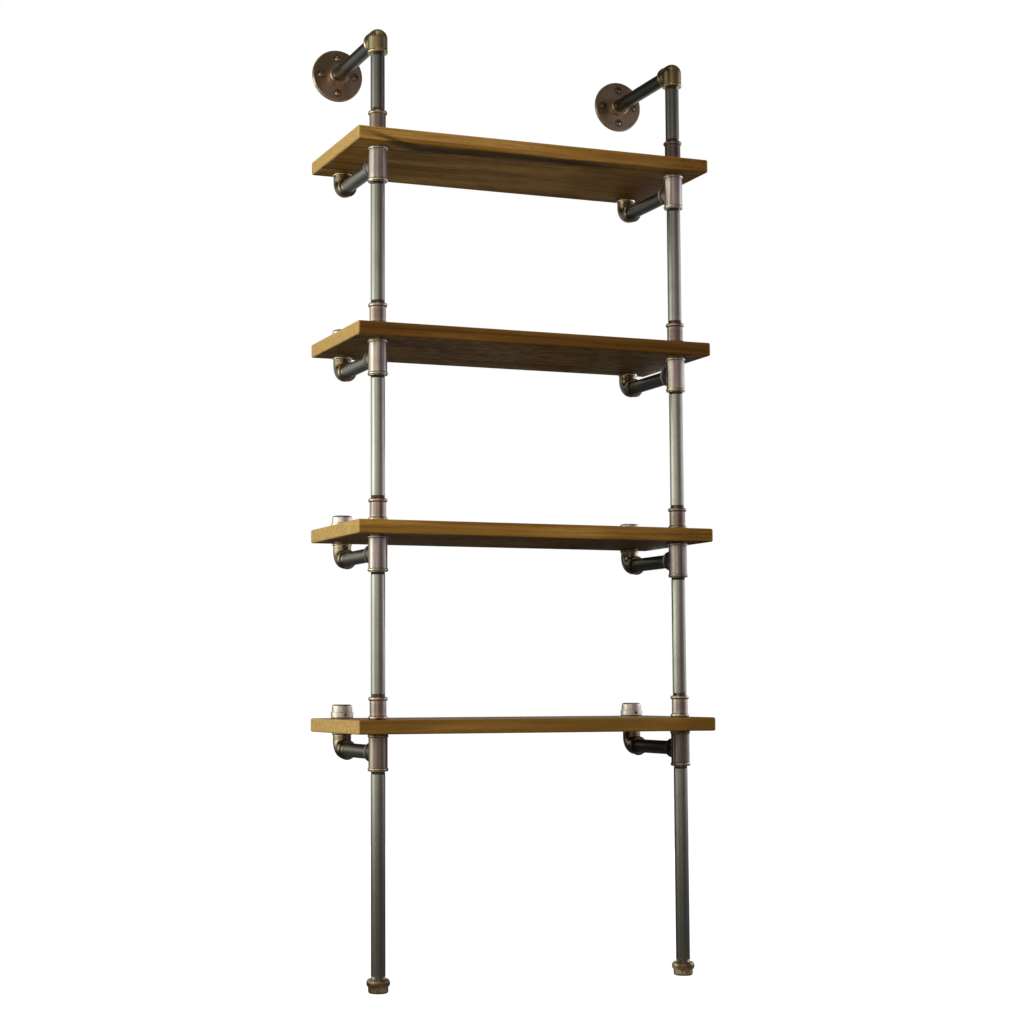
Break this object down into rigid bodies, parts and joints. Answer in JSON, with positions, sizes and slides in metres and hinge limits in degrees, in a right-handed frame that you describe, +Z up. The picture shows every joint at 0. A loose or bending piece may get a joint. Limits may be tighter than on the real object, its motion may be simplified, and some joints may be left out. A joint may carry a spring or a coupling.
{
  "type": "pipe shelving unit",
  "caption": "Wall-mounted shelving unit of wooden boards on threaded-pipe uprights, with tees, elbows and bracket pipes under each board, capped feet and round screw-on wall flanges.",
  "frame": {"origin": "on the wall plane, midway between the centres of the wall flanges", "axes": "+X to the right along the shelves seen from the room, +Y into the wall, +Z up"},
  "size_m": [0.73, 0.323, 1.825],
  "materials": {
    "oiled_wood": "golden brown stained board with dark grain, satin oil",
    "dark_steel_pipe": "grey-green gunmetal pipe, satin, clear coated",
    "antique_bronze": "antique bronze plated malleable iron, rubbed bright on its high edges",
    "bronze_flange": "antique bronze plated casting, fine-grained satin",
    "darkened_screws": "darkened bronze coloured screws"
  },
  "bodies": {
    "root": {"cap_set_screws": "darkened_screws", "front_nipples": "dark_steel_pipe", "left_bracket_pipe_1": "dark_steel_pipe", "left_bracket_pipe_2": "dark_steel_pipe", "left_bracket_pipe_3": "dark_steel_pipe", "left_bracket_pipe_4": "dark_steel_pipe", "left_coupling_1": "antique_bronze", "left_coupling_2": "antique_bronze", "left_coupling_3": "antique_bronze", "left_coupling_4": "antique_bronze", "left_foot_cap": "antique_bronze", "left_leg_pipe": "dark_steel_pipe", "left_rear_caps": "antique_bronze", "left_rear_elbow_1": "antique_bronze", "left_rear_elbow_2": "antique_bronze", "left_rear_elbow_3": "antique_bronze", "left_rear_elbow_4": "antique_bronze", "left_tee_1": "antique_bronze", "left_tee_2": "antique_bronze", "left_tee_3": "antique_bronze", "left_tee_4": "antique_bronze", "left_top_elbow": "antique_bronze", "left_top_pipe": "dark_steel_pipe", "left_upright_pipe_lower": "dark_steel_pipe", "left_upright_pipe_middle": "dark_steel_pipe", "left_upright_pipe_upper": "dark_steel_pipe", "left_wall_flange": "bronze_flange", "left_wall_pipe": "dark_steel_pipe", "rear_nipples": "dark_steel_pipe", "right_bracket_pipe_1": "dark_steel_pipe", "right_bracket_pipe_2": "dark_steel_pipe", "right_bracket_pipe_3": "dark_steel_pipe", "right_bracket_pipe_4": "dark_steel_pipe", "right_coupling_1": "antique_bronze", "right_coupling_2": "antique_bronze", "right_coupling_3": "antique_bronze", "right_coupling_4": "antique_bronze", "right_foot_cap": "antique_bronze", "right_leg_pipe": "dark_steel_pipe", "right_rear_caps": "antique_bronze", "right_rear_elbow_1": "antique_bronze", "right_rear_elbow_2": "antique_bronze", "right_rear_elbow_3": "antique_bronze", "right_rear_elbow_4": "antique_bronze", "right_tee_1": "antique_bronze", "right_tee_2": "antique_bronze", "right_tee_3": "antique_bronze", "right_tee_4": "antique_bronze", "right_top_elbow": "antique_bronze", "right_top_pipe": "dark_steel_pipe", "right_upright_pipe_lower": "dark_steel_pipe", "right_upright_pipe_middle": "dark_steel_pipe", "right_upright_pipe_upper": "dark_steel_pipe", "right_wall_flange": "bronze_flange", "right_wall_pipe": "dark_steel_pipe", "shelf_1": "oiled_wood", "shelf_2": "oiled_wood", "shelf_3": "oiled_wood", "shelf_4": "oiled_wood", "wall_screws": "darkened_screws"}
  },
  "joints": []
}
